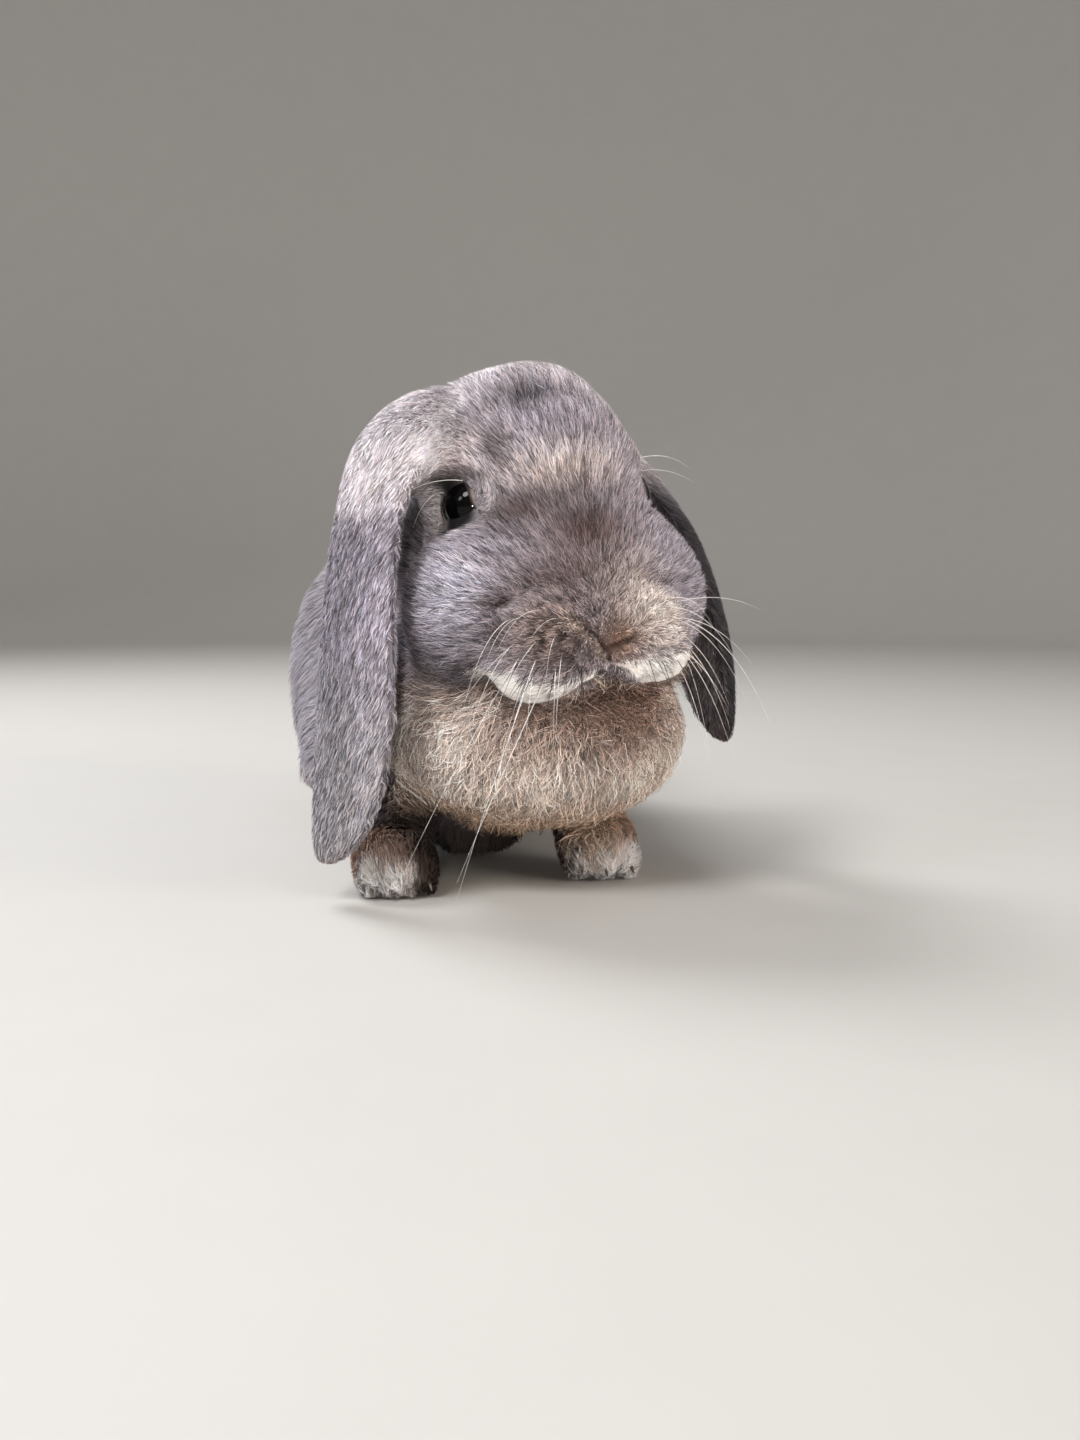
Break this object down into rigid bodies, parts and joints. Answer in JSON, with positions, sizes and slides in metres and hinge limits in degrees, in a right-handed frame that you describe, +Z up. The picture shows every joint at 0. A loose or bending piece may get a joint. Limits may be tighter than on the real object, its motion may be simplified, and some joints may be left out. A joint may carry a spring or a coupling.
{
  "type": "lop-eared rabbit",
  "caption": "Life-size still model of a crouching lop-eared rabbit with grey-brown fur, hanging ears and its head turned to its left.",
  "frame": {"origin": "on the floor, under the middle of the whole model's box", "axes": "+X to the animal's left, -Y the way its body faces, +Z up"},
  "size_m": [0.1428, 0.3138, 0.1615],
  "materials": {
    "fur": "matte grey-brown fur",
    "pale_fur": "matte beige fur",
    "eye": "wet gloss black"
  },
  "bodies": {
    "root": {"head": "fur", "neck": "fur", "ruff": "pale_fur", "trunk": "fur", "tail": "pale_fur", "ear_left": "fur", "ear_right": "fur", "eye_left": "eye", "eye_right": "eye", "foreleg_left": "fur", "foreleg_right": "fur", "forepaw_left": "fur", "forepaw_right": "fur", "hind_leg_left": "fur", "hind_leg_right": "fur", "hind_foot_left": "fur", "hind_foot_right": "fur"}
  },
  "joints": []
}
